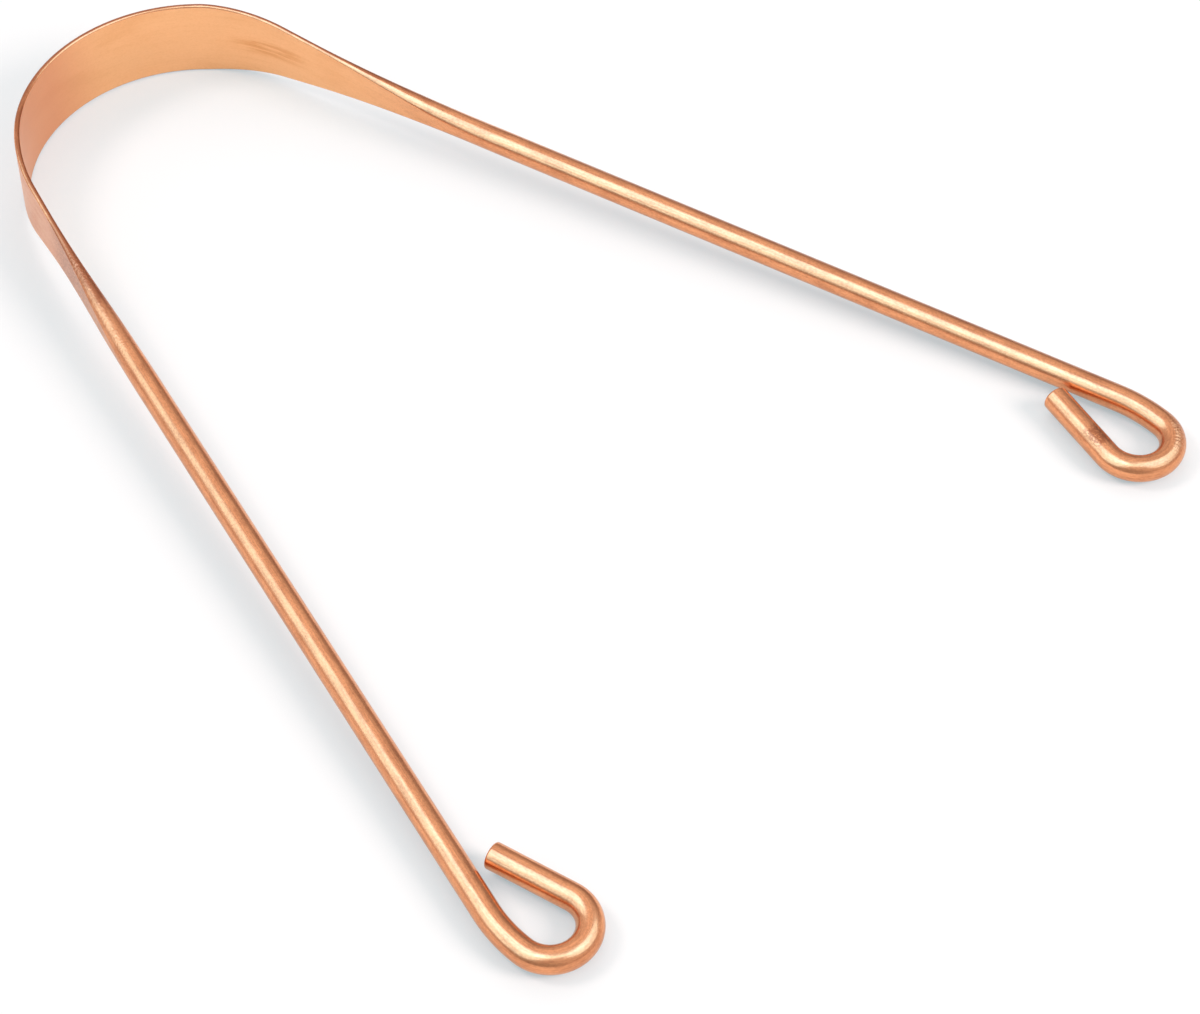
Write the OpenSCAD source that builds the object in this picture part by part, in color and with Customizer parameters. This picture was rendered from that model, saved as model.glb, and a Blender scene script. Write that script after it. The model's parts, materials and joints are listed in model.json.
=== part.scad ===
// Tongue scraper bent from one length of round copper rod, all sizes in millimetres.
// The middle of the rod is pressed flat and bowed on edge, the arms stay round, and each
// end is bent back into an open eye.
// The part stands on the lower edge of its band and on its two eyes, with +X from the band
// to the eyes and +Z up. The origin is under the middle of the whole part.

/* [Rod] */
// Diameter of the round rod
rod_d = 3; // [2:0.1:4]

/* [Band] */
// Width of the flattened band, which stands on edge
band_w = 10.5; // [8:0.5:14]
// Thickness of the flattened band
band_t = 0.65; // [0.5:0.05:1]
// Radius of the bow, to the middle of the band
bow_r = 20; // [17:0.5:26]
// Angle of full-width band on each side of the middle of the bow
crown_angle = 45; // [40:1:50]

/* [Shoulders] */
// Path from the middle of the bow to where the band starts to thicken
thicken_from = 30; // [24:1:36]
// Path from the middle of the bow to where the band is as narrow as the rod
narrow_to = 55; // [50:1:60]
// Path from the middle of the bow to where the rod is round
round_from = 57; // [54:1:66]

/* [Arms] */
// Angle of each arm from the centre line
arm_angle = 15.2; // [8:0.2:22]
// Straight run of each arm, from the end of the bow to its eye
arm_len = 111.5; // [90:0.5:130]

/* [Eyes] */
// Radius of the neck, the easy bend that leads into an eye
lead_r = 18; // [12:1:24]
// Angle that the neck turns through
lead_angle = 19; // [12:1:24]
// Radius of the round end of an eye, to the middle of the rod
eye_r = 4; // [3.5:0.1:5]
// Angle that the round end turns through
eye_angle = 190; // [184:1:200]
// Gap between the cut end and the arm at the left eye
left_tip_gap = 0.8; // [0.2:0.1:1.5]
// Gap between the cut end and the arm at the right eye
right_tip_gap = 0.6; // [0.2:0.1:1.5]
// Rounding of the cut end's rim
tip_round = 0.25; // [0.1:0.05:0.5]

/* [Flex] */
// Gap across the band at each line where an arm flexes against the crown
flex_gap = 0.1; // [0.08:0.01:0.2]

/* [Hidden] */
$fn = 96;

copper = [0.87, 0.54, 0.36];
band_copper = [0.91, 0.62, 0.45];

rod_r = rod_d / 2;
half_w = band_w / 2;
half_t = band_t / 2;

// How soon the width starts to fall, as a power of the share of the taper
flare_share = 0.72;
// Points round a tapered section, and path from one section to the next
section_points = 32;
ring_step = band_w / 10;

// Path lengths from the middle of the bow to the end of the crown and of the bow
degree = PI / 180;
crown_len = bow_r * crown_angle * degree;
bow_angle = 90 - arm_angle;
bow_len = bow_r * bow_angle * degree;
gap_angle = flex_gap / bow_r / degree;

// Where the bow ends and the arm starts, in the plane of the rod
bow_end = [bow_r * (1 - cos(bow_angle)), bow_r * sin(bow_angle)];

// The eye, from the end of the arm with the arm along +X: end of the neck, the centre of
// the round end, and the angle at which the tail comes back to the arm
lead_end = [lead_r * sin(lead_angle), -lead_r * (1 - cos(lead_angle))];
eye_centre = lead_end - eye_r * [sin(lead_angle), cos(lead_angle)];
tail_angle = lead_angle + eye_angle - 180;
tail_start = eye_centre + eye_r * [-sin(tail_angle), -cos(tail_angle)];

// Farthest point of the rod's centre line along the plane of the rod
arm_end = bow_end + arm_len * [cos(arm_angle), sin(arm_angle)];
eye_reach = arm_end[0] + eye_centre[0] * cos(arm_angle) - eye_centre[1] * sin(arm_angle) + eye_r;

// The plane of the rod leans down from the tall band to the low eyes
crown_end_x = bow_r * (1 - cos(crown_angle));
rest_tilt = asin((half_w - rod_r) / (eye_reach - crown_end_x));
lift = rod_r + eye_reach * sin(rest_tilt);
front_x = -half_t - (half_w - half_t) * sin(rest_tilt);
back_x = eye_reach * cos(rest_tilt) + rod_r;

function clamp01(v) = min(max(v, 0), 1);
function ease(v) = v * v * (3 - 2 * v);
function mix(a, b, v) = a + (b - a) * v;

// Straight tail of an eye, up to its gap from the arm
function tail_len(tip_gap) =
    (-rod_r - tip_gap - rod_r * cos(tail_angle) - tail_start[1]) / sin(tail_angle);

// Half sizes of the section at a path length s from the middle of the bow
function width_at(s) =
    mix(half_w, rod_r, ease(pow(clamp01((s - crown_len) / (narrow_to - crown_len)), flare_share)));
function thickness_at(s) =
    mix(half_t, rod_r, ease(clamp01((s - thicken_from) / (round_from - thicken_from))));

// Direction and place of the centre line at a path length s, on the right half
function heading_at(s) = 90 - min(s, bow_len) / bow_r / degree;
function place_at(s) =
    let (turn = 90 - heading_at(s), run = max(s - bow_len, 0))
    [bow_r * (1 - cos(turn)), bow_r * sin(turn)] + run * [cos(arm_angle), sin(arm_angle)];

// Flat-sided section with round edges, across the centre line at s
function section_at(s) =
    let (h = heading_at(s), p = place_at(s), w = width_at(s), t = thickness_at(s))
    [for (i = [0:section_points - 1])
        let (a = (i + 1 / 2) * 360 / section_points, out = t * cos(a))
        [p[0] - out * sin(h), p[1] + out * cos(h), t * sin(a) + sign(sin(a)) * (w - t)]];

function path_steps(from, to) =
    let (count = ceil((to - from) / ring_step))
    [for (i = [0:count]) mix(from, to, i / count)];

// Solid through the sections from one path length to another
module tapered_run(from, to) {
    stations = path_steps(from, to);
    n = section_points;
    last = len(stations) - 1;
    skin = [for (j = [0:last - 1], i = [0:n - 1])
        let (a = j * n + i, b = j * n + (i + 1) % n)
        each [[a, b, b + n], [a, b + n, a + n]]];
    caps = [[for (i = [n - 1:-1:0]) i], [for (i = [0:n - 1]) last * n + i]];
    polyhedron(points = [for (s = stations) each section_at(s)], faces = concat(skin, caps));
}

// Section of the band, standing on edge, with round edges
module band_profile() {
    square([band_t, band_w - band_t], center = true);
    for (side = [-1, 1]) translate([0, side * (half_w - half_t)]) circle(d = band_t);
}

// Rod through a bend that starts along +X at the origin and turns towards -Y
module bent_rod(r, angle) {
    translate([0, -r, 0]) rotate([0, 0, 90]) mirror([0, 1, 0]) rotate_extrude(angle = angle)
        translate([r, 0]) circle(d = rod_d);
}

// Straight rod along +Z whose far end is cut square and has a rounded rim
module cut_rod(len) {
    rotate_extrude() {
        square([rod_r, len - tip_round]);
        square([rod_r - tip_round, len]);
        translate([rod_r - tip_round, len - tip_round]) intersection() {
            circle(r = tip_round);
            square(tip_round);
        }
    }
}

// Plane of the rod, set down on the band's lower edge and the eyes
module stand() {
    translate([-(front_x + back_x) / 2, 0, lift]) rotate([0, rest_tilt, 0]) children();
}

module left_half() {
    mirror([0, 1, 0]) children();
}

// Place and direction in which the straight arm ends
module at_arm_end() {
    translate([arm_end[0], arm_end[1], 0]) rotate([0, 0, arm_angle]) children();
}

module scraper_crown() {
    turn = 2 * crown_angle - gap_angle;
    color(band_copper) stand() translate([bow_r, 0, 0]) rotate([0, 0, 180 - turn / 2])
        rotate_extrude(angle = turn) translate([bow_r, 0]) band_profile();
}

module band_side() {
    color(band_copper) tapered_run(crown_len + flex_gap / 2, thicken_from);
}

module shoulder() {
    color(copper) tapered_run(thicken_from, round_from);
}

module arm() {
    straight = bow_len + arm_len - round_from;
    color(copper) at_arm_end() translate([-straight, 0, 0]) rotate([0, 90, 0])
        cylinder(d = rod_d, h = straight);
}

module neck() {
    color(copper) at_arm_end() bent_rod(lead_r, lead_angle);
}

module eye(tip_gap) {
    color(copper) at_arm_end() translate([eye_centre[0], eye_centre[1], 0])
        rotate([0, 0, 90 - lead_angle - eye_angle]) {
            rotate_extrude(angle = eye_angle) translate([eye_r, 0]) circle(d = rod_d);
            translate([eye_r, 0, 0]) rotate([90, 0, 0]) cut_rod(tail_len(tip_gap));
        }
}

module left_band_side() {
    stand() left_half() band_side();
}

module right_band_side() {
    stand() band_side();
}

module left_shoulder() {
    stand() left_half() shoulder();
}

module right_shoulder() {
    stand() shoulder();
}

module left_arm() {
    stand() left_half() arm();
}

module right_arm() {
    stand() arm();
}

module left_neck() {
    stand() left_half() neck();
}

module right_neck() {
    stand() neck();
}

module left_eye() {
    stand() left_half() eye(left_tip_gap);
}

module right_eye() {
    stand() eye(right_tip_gap);
}

scraper_crown();
left_band_side();
right_band_side();
left_shoulder();
right_shoulder();
left_arm();
right_arm();
left_neck();
right_neck();
left_eye();
right_eye();
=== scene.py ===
import json
import math

import bpy
from mathutils import Matrix, Vector


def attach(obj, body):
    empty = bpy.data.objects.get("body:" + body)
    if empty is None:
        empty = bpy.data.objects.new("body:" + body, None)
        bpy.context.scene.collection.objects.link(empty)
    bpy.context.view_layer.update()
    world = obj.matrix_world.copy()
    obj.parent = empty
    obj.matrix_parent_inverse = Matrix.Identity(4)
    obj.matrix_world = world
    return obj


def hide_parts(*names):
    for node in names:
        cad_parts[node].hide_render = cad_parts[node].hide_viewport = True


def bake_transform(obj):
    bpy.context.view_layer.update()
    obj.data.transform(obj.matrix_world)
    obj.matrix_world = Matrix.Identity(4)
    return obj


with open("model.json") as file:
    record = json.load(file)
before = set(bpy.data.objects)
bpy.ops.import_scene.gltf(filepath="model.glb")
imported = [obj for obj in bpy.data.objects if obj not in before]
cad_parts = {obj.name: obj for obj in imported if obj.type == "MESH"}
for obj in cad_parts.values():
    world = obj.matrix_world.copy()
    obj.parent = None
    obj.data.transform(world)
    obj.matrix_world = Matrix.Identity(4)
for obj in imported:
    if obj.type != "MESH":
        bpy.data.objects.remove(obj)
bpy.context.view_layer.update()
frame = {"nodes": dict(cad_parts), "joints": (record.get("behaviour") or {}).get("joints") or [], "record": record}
mm = 0.001
tiny = 1e-9  # in place of a share of zero
scene = bpy.context.scene


def clamp(value):
    return min(max(value, 0.0), 1.0)


def mix(a, b, share):
    return a + (b - a) * share


def ease(value):
    value = clamp(value)
    return value * value * (3 - 2 * value)


# Shader sums

fullShare = 0.3  # share of a mark's reach over which it keeps its full strength
noiseMiddle = 0.5


class Wire:  # one output socket, which can stand in a sum
    def __init__(self, tree, socket):
        self.tree = tree
        self.socket = socket

    def node(self, kind, settings=None, inputs=None, take=0):
        made = self.tree.nodes.new("ShaderNode" + kind)
        for name, value in (settings or {}).items():
            setattr(made, name, value)
        for name, value in (inputs or {}).items():
            if isinstance(value, Wire):
                self.tree.links.new(value.socket, made.inputs[name])
            else:
                made.inputs[name].default_value = value
        return Wire(self.tree, made.outputs[take])

    def sum(self, operation, *values):
        return self.node("Math", {"operation": operation}, dict(enumerate(values)))

    def __add__(self, other):
        return self.sum("ADD", self, other)

    def __sub__(self, other):
        return self.sum("SUBTRACT", self, other)

    def __rsub__(self, other):
        return self.sum("SUBTRACT", other, self)

    def __mul__(self, other):
        return self.sum("MULTIPLY", self, other)

    __radd__ = __add__
    __rmul__ = __mul__

    def between(self, low, high):  # 0 at low, 1 at high, eased
        return self.node("MapRange", {"interpolation_type": "SMOOTHSTEP"},
                         {"Value": self, "From Min": low, "From Max": high})

    def near(self, middle, reach):  # 1 around the middle, fading to 0 at the reach
        return self.sum("ABSOLUTE", self - middle).between(reach, fullShare * reach)

    def axis(self, index):
        return self.node("SeparateXYZ", inputs={0: self}, take=index)

    def noise(self, stretch, scale, detail, roughness):  # a small stretch draws the grain out
        spread = self.node("VectorMath", {"operation": "MULTIPLY"}, {0: self, 1: stretch})
        return self.node("TexNoise", inputs={"Vector": spread, "Scale": scale, "Detail": detail,
                                             "Roughness": roughness})

    def colours(self, first, second):  # between two plain colours, by this amount
        return self.node("Mix", {"data_type": "RGBA"}, {0: self, 6: first, 7: second}, take=2)

    def blendTo(self, colour, amount):
        return self.node("Mix", {"data_type": "RGBA"}, {0: amount, 6: self, 7: colour}, take=2)


def newMaterial(name):
    material = bpy.data.materials.new(name)
    material.use_nodes = True
    tree = material.node_tree
    tree.nodes.clear()
    output = tree.nodes.new("ShaderNodeOutputMaterial")
    return material, tree, output


# Copper finishes

copper = dict(
    drawn=(0.91, 0.393, 0.187, 1), tarnishAndShade=(0.46, 0.16, 0.075, 1),
    pressed=(1.0, 0.53, 0.258, 1), streak=(0.74, 0.29, 0.09, 1), dull=(0.80, 0.32, 0.17, 1),
    # the band's outer face is paler and pinker: partly its own colour, partly a painted reflection of the pale
    # floor
    outerFace=(0.89, 0.48, 0.335, 1), outerShare=0.8, outerFade=(0, 0.2 * mm),
    sooted=(0.50, 0.18, 0.09, 1), sootBase=0.2, edgeTint=(0.95, 1.0, 1.0, 1),
    # the rim's fade and strength: painted shade on the band's rims
    pressedFade=(54 * mm, 36 * mm), rimFade=(-0.3 * mm, -0.02 * mm), rimShade=0.75,
    drawnRoughness=0.23, pressedRoughness=0.40,
    mottleRoughness=0.05, speckRoughness=0.06, scuffRoughness=0.07,
    lineDepth=0.003 * mm, speckDepth=0.0035 * mm, creaseDepth=0.12 * mm, scuffDepth=0.05 * mm,
)

# Grain of the metal, each with its stretch outward, upward and along the rod
grains = dict(
    lines=dict(stretch=(1, 1, 0.015), scale=6000, detail=3, roughness=0.6),
    mottle=dict(stretch=(1, 1, 0.3), scale=1100, detail=4, roughness=0.65),
    specks=dict(stretch=(1, 1, 0.6), scale=5200, detail=2, roughness=0.6),
    clouds=dict(stretch=(1, 1, 0.4), scale=260, detail=3, roughness=0.5),
    rubs=dict(stretch=(1, 1, 0.06), scale=2600, detail=3, roughness=0.6),
    creases=dict(stretch=(0.4, 0.4, 2.2), scale=2600, detail=2, roughness=0.6),
    burrs=dict(stretch=(1, 1, 1), scale=2800, detail=2, roughness=0.6),
)

# Grain that stains each finish: its weight, and the levels between which it comes in
stains = dict(
    drawn=dict(mottle=(0.31, 0.38, 0.66), specks=(0.22, 0.38, 0.66), lines=(0.18, 0.42, 0.62)),
    pressed=dict(rubs=(0.10, 0.4, 0.8), clouds=(0.22, 0.42, 0.75), specks=(0.12, 0.4, 0.7)),
    outerFace=dict(mottle=(0.40, 0.40, 0.62), specks=(0.35, 0.42, 0.62)),
    soot=dict(specks=(0.6, 0.42, 0.58)),
)

# Marks on the metal, and one painted shade, by path length from the middle of the bow: left is negative
marks = dict(
    rubbed=dict(middle=24.5 * mm, reach=6.5 * mm, height=-0.15 * mm, width=1.5 * mm,
                stain=0.55, levels=(0.3, 0.6)),
    dulled=dict(middle=-12 * mm, reach=16 * mm, stain=0.7),
    pinched=dict(middle=-39.4 * mm, reach=4.5 * mm),
    sooty=dict(middle=-38 * mm, reach=8 * mm, outward=(0.7 * mm, 0.3 * mm),
               stain=1.7, grain="mottle", levels=(0.28, 0.46)),
    scuffed=dict(middle=-47 * mm, reach=8 * mm),
    rimSwap=dict(middle=-14.6 * mm, reach=4 * mm),
    # painted shade, not a mark on the metal: the upper outer flank of the arms and eyes is browned
    paintedShadeFlank=dict(middle=104 * mm, reach=54 * mm, outward=(0.45 * mm, 0.95 * mm),
                 upward=(0.4 * mm, 1.0 * mm), stain=1.2),
    creased=dict(middle=146.3 * mm, reach=3.2 * mm, outward=(-0.6 * mm, 0.5 * mm)),
    spotted=dict(middle=158.8 * mm, reach=2.0 * mm, upward=(0.9 * mm, 1.4 * mm),
                 stain=0.9, grain="specks", levels=(0.3, 0.55)),
)


def copperMaterial(name):  # satin where pressed flat, bright with draw lines where round
    material, tree, output = newMaterial(name)
    start = Wire(tree, None)
    place = start.node("Attribute", {"attribute_name": "rodPlace"}, take=1)
    flatness = start.node("Attribute", {"attribute_name": "flatness"}, take=2)
    out, up, along = place.axis(0), place.axis(1), place.axis(2)
    grain = {kind: place.noise(**look) for kind, look in grains.items()}

    def at(mark):
        return along.near(marks[mark]["middle"], marks[mark]["reach"])

    def stained(finish):  # by all the grains that stain it
        found = [weight * grain[kind].between(low, high)
                 for kind, (weight, low, high) in stains[finish].items()]
        return sum(found[1:], found[0])

    def stainAt(mark):  # where the mark lies along, across and up the rod
        look = marks[mark]
        found = look["stain"] * at(mark)
        for across, direction in ((out, "outward"), (up, "upward")):
            if direction in look:
                found = found * across.between(*look[direction])
        if "grain" in look:
            found = found * grain[look["grain"]].between(*look["levels"])
        return found

    # painted shade: the band's rims are made browner on their outer side, and left of the swap on their inner side
    swap = marks["rimSwap"]
    pressedHere = start.sum("ABSOLUTE", along).between(*copper["pressedFade"])
    turned = (along - swap["middle"]).between(-swap["reach"], swap["reach"]) * 2 - 1
    paintedRimShade = (out * turned).between(*copper["rimFade"])
    # real tarnish grain and marks, together with painted shade on the rims and the upper outer flank
    drawnStainAndShade = (stained("drawn") + copper["rimShade"] * pressedHere * paintedRimShade
                  + stainAt("sooty") + stainAt("paintedShadeFlank") + stainAt("spotted"))
    drawn = drawnStainAndShade.colours(copper["drawn"], copper["tarnishAndShade"])

    rubbed = marks["rubbed"]
    onRub = at("rubbed") * up.near(rubbed["height"], rubbed["width"])
    pressedStain = stained("pressed") + rubbed["stain"] * onRub * grain["rubs"].between(*rubbed["levels"])
    outside = out.between(*copper["outerFade"])
    pressed = pressedStain.colours(copper["pressed"], copper["streak"])
    pressed = pressed.blendTo(copper["dull"], at("dulled") * marks["dulled"]["stain"])
    # partly painted reflection: the outer face is blended to a paler pink
    pressed = pressed.blendTo(copper["outerFace"], outside * copper["outerShare"])
    pressed = pressed.blendTo(copper["dull"], outside * stained("outerFace"))
    soot = at("sooty") * (copper["sootBase"] + stained("soot")) * (1 - flatness * (1 - outside))
    colour = drawn.blendTo(pressed, flatness).blendTo(copper["sooted"], soot)

    # a bend creases where it stretches
    creasing = at("creased") * out.between(*marks["creased"]["outward"]) * grain["creases"]
    height = (grain["lines"] * copper["lineDepth"] + grain["specks"] * copper["speckDepth"]
              + creasing * copper["creaseDepth"] + at("pinched") * grain["burrs"] * copper["creaseDepth"]
              + at("scuffed") * grain["specks"] * copper["scuffDepth"])
    bump = start.node("Bump", inputs={"Height": height, "Distance": 1.0, "Strength": 1.0})
    drawnRoughness = (copper["drawnRoughness"] + copper["mottleRoughness"] * (grain["mottle"] - noiseMiddle)
                      + copper["speckRoughness"] * (grain["specks"] - noiseMiddle)
                      + copper["scuffRoughness"] * at("scuffed"))
    roughness = drawnRoughness + flatness * (copper["pressedRoughness"] - drawnRoughness)
    shader = start.node("BsdfPrincipled", inputs={
        "Base Color": colour, "Metallic": 1.0, "Roughness": roughness, "Normal": bump,
        "Specular Tint": copper["edgeTint"]})
    tree.links.new(shader.socket, output.inputs["Surface"])
    return material


finishes = {slot: copperMaterial(slot.replace("_", " ")) for slot in ("bright_copper", "satin_copper")}
for part in frame["record"]["subparts"]:
    solid = frame["nodes"][part["node"]]
    solid.data.materials.clear()
    solid.data.materials.append(finishes[part["material_slot"]])
print("finishes ready")


# The rod, as one path from the middle of the bow to a cut end

rod = dict(
    radius=1.5 * mm, halfWidth=5.25 * mm, halfThickness=0.325 * mm,
    bowRadius=20 * mm, crownTurn=math.radians(45),
    thickenFrom=30 * mm, narrowTo=55 * mm, roundFrom=57 * mm, flareShare=0.72,
    armAngle=math.radians(15.2), armLength=111.5 * mm,
    neckRadius=18 * mm, neckTurn=math.radians(19), eyeRadius=4 * mm, eyeTurn=math.radians(190),
    tipGap={"left": 0.8 * mm, "right": 0.6 * mm},
    rimTurn=math.radians(28), rimPower=4, filletRadius=0.09 * mm,
    bendShare=0.49,  # half the length of bow that bends at each side, as a share of the crown's half
)
mesh = dict(around=64, turnShare=0.72, bandStep=0.6 * mm, bendStep=0.4 * mm, straightStep=1.5 * mm,
            nudge=0.01 * mm)

crownLength = rod["bowRadius"] * rod["crownTurn"]
bowTurn = math.pi / 2 - rod["armAngle"]
bowLength = rod["bowRadius"] * bowTurn
armEnd = bowLength + rod["armLength"]
neckEnd = armEnd + rod["neckRadius"] * rod["neckTurn"]
eyeEnd = neckEnd + rod["eyeRadius"] * rod["eyeTurn"]
tailTurn = rod["neckTurn"] + rod["eyeTurn"] - math.pi


def bowPoint(turn, radius):
    return Vector((radius * (1 - math.cos(turn)), radius * math.sin(turn)))


def turnedRun(start, heading, length, curvature):  # end of an arc or a straight, and its heading
    if curvature == 0:
        return start + length * Vector((math.cos(heading), math.sin(heading))), heading
    after = heading - length * curvature
    chord = Vector((math.sin(heading) - math.sin(after), math.cos(after) - math.cos(heading)))
    return start + chord / curvature, after


bends = [(bowLength, 1 / rod["bowRadius"]), (rod["armLength"], 0),
         (neckEnd - armEnd, 1 / rod["neckRadius"]), (eyeEnd - neckEnd, 1 / rod["eyeRadius"])]


def walk(s):  # place and heading of the centre line at path length s, on the right half
    place, heading, left = Vector((0, 0)), math.pi / 2, s
    for length, curvature in bends:
        run = min(left, length)
        place, heading = turnedRun(place, heading, run, curvature)
        left -= run
        if left <= 0:
            return place, heading
    return turnedRun(place, heading, left, 0)


def tailLength(side):  # up to the gap from the arm, measured square to the arm
    place, _ = walk(eyeEnd)
    start, armHeading = walk(armEnd)
    inward = Vector((math.sin(armHeading), -math.cos(armHeading)))
    reach = (place - start).dot(inward)
    rest = reach - rod["radius"] * (1 + math.cos(tailTurn)) - rod["tipGap"][side]
    return rest / math.sin(tailTurn)


# The rod's directions in the frame, from the hinge that stands in for the band's bending
flexJoint = next(joint for joint in frame["joints"] if joint["name"] == "right_arm_flex")
upward = Vector(flexJoint["axis"])
forward = Vector((upward.z, 0, -upward.x))
sideways = Vector((0, 1, 0))
hingeLocal = bowPoint(rod["crownTurn"], rod["bowRadius"])
bowMiddle = Vector(flexJoint["pos_m"]) - forward * hingeLocal.x - sideways * hingeLocal.y


def inFrame(x, y, z, side):
    return bowMiddle + forward * x + sideways * (y if side == "right" else -y) + upward * z


def directionInFrame(x, y, z, side):
    return inFrame(x, y, z, side) - bowMiddle


# Section across the rod

def halfSizes(s):
    narrowing = clamp((s - crownLength) / (rod["narrowTo"] - crownLength)) ** rod["flareShare"]
    width = mix(rod["halfWidth"], rod["radius"], ease(narrowing))
    rounding = ease((s - rod["thickenFrom"]) / (rod["roundFrom"] - rod["thickenFrom"]))
    return width, mix(rod["halfThickness"], rod["radius"], rounding), rounding


def quarter(s):  # flat, fillet and rim arc from the middle of a face to the edge
    width, thickness, rounding = halfSizes(s)
    corner = rod["rimTurn"] * (1 - rounding ** rod["rimPower"])
    rimRadius = thickness / math.cos(corner)
    rimCentre = width - rimRadius
    fillet = rod["filletRadius"]
    rise = math.sqrt(max((rimRadius - fillet) ** 2 - (thickness - fillet) ** 2, 0))
    filletTurn = math.atan2(rise, thickness - fillet)
    return dict(flat=max(rimCentre + rise, 0), thickness=thickness, fillet=fillet,
                filletTurn=filletTurn, rimRadius=rimRadius, rimCentre=rimCentre)


def quarterPoint(shape, share):  # outward and upward place, and the angle of the normal
    rimTurn = math.pi / 2 - shape["filletTurn"]
    lengths = [shape["flat"], shape["fillet"] * shape["filletTurn"], shape["rimRadius"] * rimTurn]
    turns = [0, shape["filletTurn"], rimTurn]
    turnShare = mesh["turnShare"]
    weights = [(1 - turnShare) * length / sum(lengths) + turnShare * turn / (math.pi / 2)
               for length, turn in zip(lengths, turns)]
    if share <= weights[0]:
        return shape["thickness"], shape["flat"] * share / max(weights[0], tiny), 0.0
    share -= weights[0]
    if share <= weights[1]:
        angle = shape["filletTurn"] * share / weights[1]
        return (shape["thickness"] + shape["fillet"] * (math.cos(angle) - 1),
                shape["flat"] + shape["fillet"] * math.sin(angle), angle)
    angle = shape["filletTurn"] + rimTurn * min((share - weights[1]) / weights[2], 1)
    return (shape["rimRadius"] * math.cos(angle),
            shape["rimCentre"] + shape["rimRadius"] * math.sin(angle), angle)


def section(s):  # ring of (outward, upward, angle of the normal), anticlockwise from the outer face
    shape = quarter(s)
    ring = []
    count = mesh["around"]
    for k in range(count):
        turn = 4 * k / count  # in quarters
        corner, share = int(turn), turn - int(turn)
        out, up, angle = quarterPoint(shape, share if corner % 2 == 0 else 1 - share)
        outSign = 1 if corner in (0, 3) else -1
        upSign = 1 if corner in (0, 1) else -1
        normalAngle = math.atan2(upSign * math.sin(angle), outSign * math.cos(angle))
        ring.append((outSign * out, upSign * up, normalAngle))
    return ring


def ringAt(s, side):
    place, heading = walk(s)
    outward = Vector((-math.sin(heading), math.cos(heading)))
    points = []
    for out, up, _ in section(s):
        spot = place + outward * out
        points.append(inFrame(spot.x, spot.y, up, side))
    return points


def ringNormals(s, side):  # from the surface's own slopes along and across the rod
    _, heading = walk(s)
    before, after = ringAt(max(s - mesh["nudge"], 0), side), ringAt(s + mesh["nudge"], side)
    normals = []
    for k, (_, _, angle) in enumerate(section(s)):
        acrossOut, acrossUp = -math.sin(angle), math.cos(angle)
        across = directionInFrame(
            -math.sin(heading) * acrossOut, math.cos(heading) * acrossOut, acrossUp, side)
        normal = across.cross(after[k] - before[k]).normalized()
        normals.append(-normal if side == "left" else normal)
    return normals


# how soon each face loses its satin along the shoulder, and how far round the rim satin goes
facing = dict(outerFade=1.7, innerFade=1.0, rimSine=0.5)


def flatnessAt(s):  # 1 on the flat faces of the band, 0 on its rims and on round rod
    rounding = halfSizes(s)[2]
    shares = []
    for out, _, angle in section(s):
        fade = facing["outerFade"] if out > 0 else facing["innerFade"]
        shares.append(clamp(1 - fade * rounding) * clamp(1 - abs(math.sin(angle)) / facing["rimSine"]))
    return shares


def steps(start, end, size):
    count = max(1, math.ceil((end - start) / size))
    return [mix(start, end, i / count) for i in range(count + 1)]


# the last ring of the dome stays half a step away from its middle
cutEnd = dict(rim=0.28 * mm, dome=0.07 * mm, rimSteps=7, domeSteps=4, middleStep=0.5)


def cutEndShape():  # share of the rod's radius, advance and lean of the normal, over a cut end
    rim, dome, radius = cutEnd["rim"], cutEnd["dome"], rod["radius"]
    lean = 2 * math.atan(dome / (radius - rim))
    shape = []
    for i in range(1, cutEnd["rimSteps"] + 1):
        turn = (math.pi / 2 - lean) * i / cutEnd["rimSteps"]
        shape.append((1 - rim * (1 - math.cos(turn)) / radius, rim * math.sin(turn), turn))
    share, advance, _ = shape[-1]
    ball = share * radius / math.sin(lean)
    for i in range(1, cutEnd["domeSteps"] + 1):
        left = lean * (1 - i / (cutEnd["domeSteps"] + cutEnd["middleStep"]))
        shape.append((ball * math.sin(left) / radius, advance + ball * (math.cos(left) - math.cos(lean)),
                      math.pi / 2 - left))
    return shape


def runFaces(rings, side):  # walls from ring to ring, and a face over each end
    count = mesh["around"]
    faces = []
    for j in range(rings - 1):
        for k in range(count):
            a, b = j * count + k, j * count + (k + 1) % count
            faces.append((a, b, b + count, a + count))
    last = (rings - 1) * count
    faces += [tuple(range(count - 1, -1, -1)), tuple(last + k for k in range(count))]
    return [face[::-1] for face in faces] if side == "left" else faces


def setNormals(data, normals):  # smooth walls, and the two end faces plain
    endNormals = {polygon.index: polygon.normal.copy() for polygon in list(data.polygons)[-2:]}
    corners = []
    for polygon in data.polygons:
        polygon.use_smooth = True
        for loop in polygon.loop_indices:
            corners.append(endNormals.get(polygon.index) or normals[data.loops[loop].vertex_index])
    data.normals_split_custom_set(corners)


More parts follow.
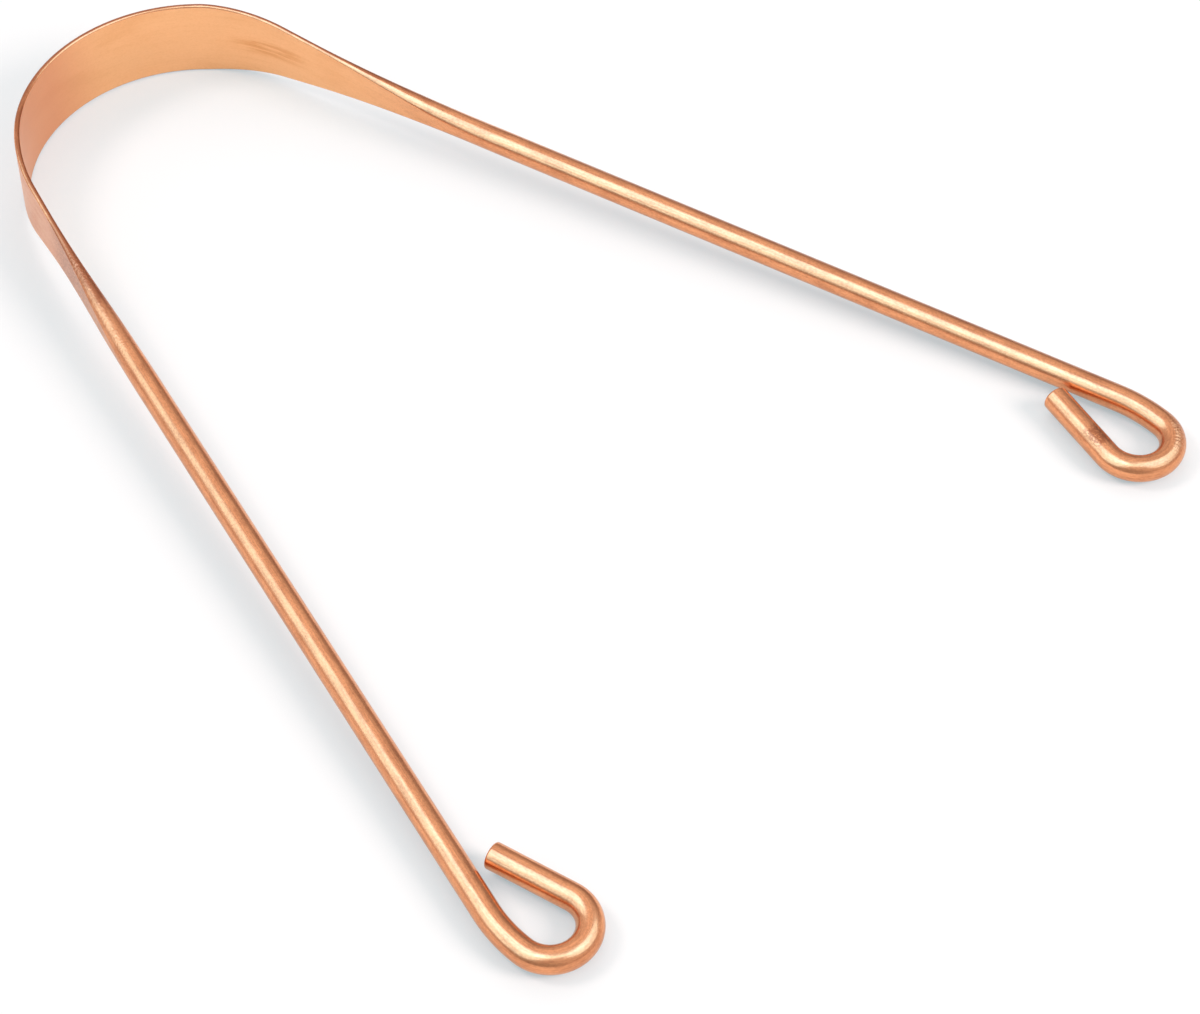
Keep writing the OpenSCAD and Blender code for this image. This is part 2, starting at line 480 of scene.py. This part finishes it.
def buildRun(name, side, start, end, step, finish, tip=False):  # one stretch of the rod
    sign = 1 if side == "right" else -1
    cutShape = cutEndShape() if tip else []
    if tip:
        end -= cutShape[-1][1]
    stations = [(s, 1, 0, 0) for s in steps(start, end, step)]
    stations += [(end, *rest) for rest in cutShape]
    verts, normals, places, flats = [], [], [], []
    for s, share, advance, lean in stations:
        place, heading = walk(s)
        middle = inFrame(place.x, place.y, 0, side)
        onward = directionInFrame(math.cos(heading), math.sin(heading), 0, side)
        verts += [middle + (point - middle) * share + onward * advance for point in ringAt(s, side)]
        normals += [normal * math.cos(lean) + onward * math.sin(lean) for normal in ringNormals(s, side)]
        places += [(out * share, up * share, sign * (s + advance)) for out, up, _ in section(s)]
        flats += flatnessAt(s)
    data = bpy.data.meshes.new(name)
    data.from_pydata(verts, [], runFaces(len(stations), side))
    data.attributes.new("rodPlace", "FLOAT_VECTOR", "POINT").data.foreach_set(
        "vector", [v for place in places for v in place])
    data.attributes.new("flatness", "FLOAT", "POINT").data.foreach_set("value", flats)
    setNormals(data, normals)
    data.materials.append(finishes[finish])
    piece = bpy.data.objects.new(name, data)
    scene.collection.objects.link(piece)
    return piece


# Pieces

bendStart = crownLength * (1 - rod["bendShare"])
bendEnd = crownLength * (1 + rod["bendShare"])

for side in ("left", "right"):
    body = side + "_half"
    tail = tailLength(side)
    band = buildRun(side + "_scraping_band", side, 0, rod["thickenFrom"], mesh["bandStep"], "satin_copper")
    start, _ = walk(bendStart)
    end, _ = walk(bendEnd)
    inFrame(start.x, start.y, 0, side)
    inFrame(end.x, end.y, 0, side)
    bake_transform(band)
    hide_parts("scraper_crown", side + "_band_side")
    for name, low, high, step, node in (
            ("pressed_shoulder", rod["thickenFrom"], rod["roundFrom"], mesh["bandStep"], "shoulder"),
            ("drawn_arm", rod["roundFrom"], armEnd, mesh["straightStep"], "arm"),
            ("bent_neck", armEnd, neckEnd, mesh["bendStep"], "neck"),
            ("closed_eye", neckEnd, eyeEnd + tail, mesh["bendStep"], "eye")):
        piece = buildRun(side + "_" + name, side, low, high, step, "bright_copper", tip=node == "eye")
        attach(piece, body)
        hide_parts(side + "_" + node)
    print(side, "half built, tail", round(tail / mm, 3))


# Floor: matte for the light on the object, and lifted to white where it is seen or mirrored

floorLook = dict(size=3.0, albedo=(0.64, 0.52, 0.48, 1), lift=(0.207, 0.365, 0.419, 1))


def paleFloor():
    material, tree, output = newMaterial("paleFloor")
    start = Wire(tree, None)
    seen, mirrored, through = (start.node("LightPath", take=name)
                               for name in ("Is Camera Ray", "Is Glossy Ray", "Is Transmission Ray"))
    shown = start.sum("MINIMUM", seen + mirrored + through, 1.0)
    matte = start.node("BsdfDiffuse", inputs={"Color": floorLook["albedo"]})
    glow = start.node("Emission", inputs={"Color": floorLook["lift"], "Strength": 1.0})
    lit = start.node("AddShader", inputs={0: matte, 1: glow})
    both = start.node("MixShader", inputs={0: shown, 1: matte, 2: lit})
    tree.links.new(both.socket, output.inputs["Surface"])
    return material


half = floorLook["size"] / 2
floorCorners = [(-half, -half, 0), (half, -half, 0), (half, half, 0), (-half, half, 0)]
floorMesh = bpy.data.meshes.new("floor")
floorMesh.from_pydata(floorCorners, [], [(0, 1, 2, 3)])
floorMesh.materials.append(paleFloor())
floor = bpy.data.objects.new("floor", floorMesh)
scene.collection.objects.link(floor)

# World: low down it is dimmer towards one azimuth and opposite it, and higher up it is all alike
worldLook = dict(
    dark=110, farLow=(0.38, 0.35, 0.35, 1), farFade=(0.72, 1.0),
    nearLow=(0.45, 0.45, 0.45, 1), nearFade=(-0.4, -0.9),
    sideLow=(0.76, 0.73, 0.73, 1), high=(0.77, 0.745, 0.74, 1), highFade=(0.25, 0.9),
)


def studioWorld():
    world = bpy.data.worlds.new("studio")
    world.use_nodes = True
    tree = world.node_tree
    tree.nodes.clear()
    start = Wire(tree, None)
    direction = start.node("TexCoord")
    darkTurn = math.radians(worldLook["dark"])
    towards = start.node("VectorMath", {"operation": "DOT_PRODUCT"},
                         {0: direction, 1: (math.cos(darkTurn), math.sin(darkTurn), 0)}, take=1)
    horizon = towards.between(*worldLook["farFade"]).colours(worldLook["sideLow"], worldLook["farLow"])
    horizon = horizon.blendTo(worldLook["nearLow"], towards.between(*worldLook["nearFade"]))
    shade = horizon.blendTo(worldLook["high"], direction.axis(2).between(*worldLook["highFade"]))
    glow = start.node("Background", inputs={"Color": shade, "Strength": 1.0})
    output = tree.nodes.new("ShaderNodeOutputWorld")
    tree.links.new(glow.socket, output.inputs["Surface"])
    return world


scene.world = studioWorld()


# Lamps: azimuth and elevation in degrees, distance, width and depth in metres

plainWhite, coolWhite, coldWhite = (1, 1, 1), (0.46, 1, 1.4), (0.6, 1, 1.9)
highlights = dict(
    frontSoftbox=dict(azimuth=-116, elevation=51, distance=0.7, width=1.0, depth=0.98,
                      radiance=1.4, colour=coolWhite),
    frontCore=dict(azimuth=-120, elevation=67, distance=0.7, width=0.58, depth=0.54,
                   radiance=0.8, colour=coldWhite),
    backSoftbox=dict(azimuth=38, elevation=50, distance=0.8, width=0.92, depth=0.88,
                     radiance=1.3, colour=coolWhite),
    backCore=dict(azimuth=34, elevation=58, distance=0.8, width=0.52, depth=0.48,
                  radiance=0.7, colour=coldWhite),
    skyGlow=dict(azimuth=145, elevation=62, distance=0.8, width=0.6, depth=0.6,
                 radiance=0.22, colour=plainWhite),
    topGlow=dict(azimuth=-38, elevation=73, distance=0.8, width=0.44, depth=0.44,
                 radiance=1.2, colour=coolWhite),
)
fills = dict(
    backFill=dict(azimuth=28, elevation=33, distance=1.2, width=0.56, depth=0.56,
                  radiance=10.8, colour=plainWhite),
    frontFill=dict(azimuth=-150, elevation=50, distance=1.2, width=0.4, depth=0.4,
                   radiance=8.9, colour=plainWhite),
    rearFill=dict(azimuth=135, elevation=40, distance=1.2, width=0.9, depth=0.9,
                  radiance=1.1, colour=plainWhite),
)


def softbox(name, azimuth, elevation, distance, width, depth, radiance, colour):  # an oval lamp
    a, e = math.radians(azimuth), math.radians(elevation)
    spot = distance * Vector((math.cos(a) * math.cos(e), math.sin(a) * math.cos(e), math.sin(e)))
    lamp = bpy.data.lights.new(name, "AREA")
    lamp.shape = "ELLIPSE"
    lamp.size, lamp.size_y = width, depth
    lamp.color = colour
    lamp.energy = radiance * math.pi * (math.pi * width * depth / 4)  # watts, spread over the lamp's face
    made = bpy.data.objects.new(name, lamp)
    made.matrix_world = Matrix.Translation(spot) @ (-spot).to_track_quat("-Z", "Y").to_matrix().to_4x4()
    scene.collection.objects.link(made)
    return made


for name, look in highlights.items():
    softbox(name, **look).visible_diffuse = False
for name, look in fills.items():
    softbox(name, **look).visible_glossy = False

# Camera: place, lens and sensor in millimetres, clip in metres, turn in degrees

cameraLook = dict(place=(205.20, -172.65, 286.20), turn=(40.898, 1.043, 45.407),
                  lens=103.44, sensor=36.0, clip=0.01)
camera = bpy.data.cameras.new("camera")
camera.lens = cameraLook["lens"]
camera.sensor_fit = "HORIZONTAL"
camera.sensor_width = cameraLook["sensor"]
camera.clip_start = cameraLook["clip"]
cameraObject = bpy.data.objects.new("camera", camera)
cameraObject.location = Vector(cameraLook["place"]) * mm
cameraObject.rotation_euler = [math.radians(v) for v in cameraLook["turn"]]
scene.collection.objects.link(cameraObject)
scene.camera = cameraObject
scene.view_settings.view_transform = "Standard"
print("stage ready")
